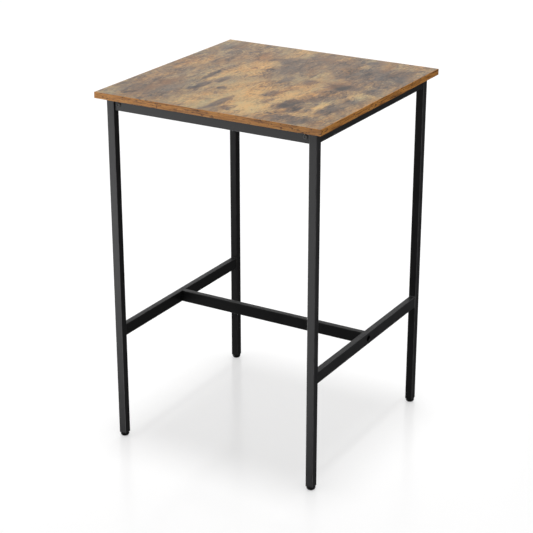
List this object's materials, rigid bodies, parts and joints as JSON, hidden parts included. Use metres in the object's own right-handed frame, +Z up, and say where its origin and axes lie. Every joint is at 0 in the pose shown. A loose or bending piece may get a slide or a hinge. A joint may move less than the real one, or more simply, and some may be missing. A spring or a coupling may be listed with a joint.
{
  "type": "pub table",
  "caption": "Tall square pub table: rustic laminated top with edge bands on a black steel tube frame with bolted rails, an H-shaped stretcher and screw-in levelling feet.",
  "frame": {"origin": "on the floor under the middle of the top", "axes": "+Z up, +X along the front edge to the right, +Y from the front to the back"},
  "size_m": [0.6, 0.6, 0.9],
  "materials": {
    "laminate_top": "satin rustic brown laminate",
    "edge_band": "satin rustic brown edge band",
    "powder_coat": "satin black powder coat",
    "black_bolt": "black oxide",
    "zinc_steel": "zinc plated",
    "black_plastic": "moulded black plastic"
  },
  "bodies": {
    "table": {"centre_stretcher": "powder_coat", "edge_band_front": "edge_band", "edge_band_left": "edge_band", "edge_band_rear": "edge_band", "edge_band_right": "edge_band", "foot_insert_front_left": "black_plastic", "foot_insert_front_right": "black_plastic", "foot_insert_rear_left": "black_plastic", "foot_insert_rear_right": "black_plastic", "front_rail": "powder_coat", "leg_front_left": "powder_coat", "leg_front_right": "powder_coat", "leg_rear_left": "powder_coat", "leg_rear_right": "powder_coat", "rail_bolts": "black_bolt", "rail_tongue_front_left": "powder_coat", "rail_tongue_front_right": "powder_coat", "rail_tongue_rear_left": "powder_coat", "rail_tongue_rear_right": "powder_coat", "rear_rail": "powder_coat", "side_rail_left": "powder_coat", "side_rail_right": "powder_coat", "side_stretcher_left": "powder_coat", "side_stretcher_right": "powder_coat", "stretcher_bolts": "black_bolt", "stretcher_end_plate_left": "powder_coat", "stretcher_end_plate_right": "powder_coat", "top_board": "laminate_top", "top_screws": "zinc_steel"},
    "leveller_front_left": {"leveller_pad_front_left": "black_plastic", "leveller_stem_front_left": "zinc_steel"},
    "leveller_front_right": {"leveller_pad_front_right": "black_plastic", "leveller_stem_front_right": "zinc_steel"},
    "leveller_rear_left": {"leveller_pad_rear_left": "black_plastic", "leveller_stem_rear_left": "zinc_steel"},
    "leveller_rear_right": {"leveller_pad_rear_right": "black_plastic", "leveller_stem_rear_right": "zinc_steel"}
  },
  "joints": [
    {"name": "leveller_front_left_travel", "type": "slide", "parent": "table", "child": "leveller_front_left", "axis": [0, 0, -1], "range_m": [0, 0.01]},
    {"name": "leveller_front_right_travel", "type": "slide", "parent": "table", "child": "leveller_front_right", "axis": [0, 0, -1], "range_m": [0, 0.01]},
    {"name": "leveller_rear_left_travel", "type": "slide", "parent": "table", "child": "leveller_rear_left", "axis": [0, 0, -1], "range_m": [0, 0.01]},
    {"name": "leveller_rear_right_travel", "type": "slide", "parent": "table", "child": "leveller_rear_right", "axis": [0, 0, -1], "range_m": [0, 0.01]}
  ]
}
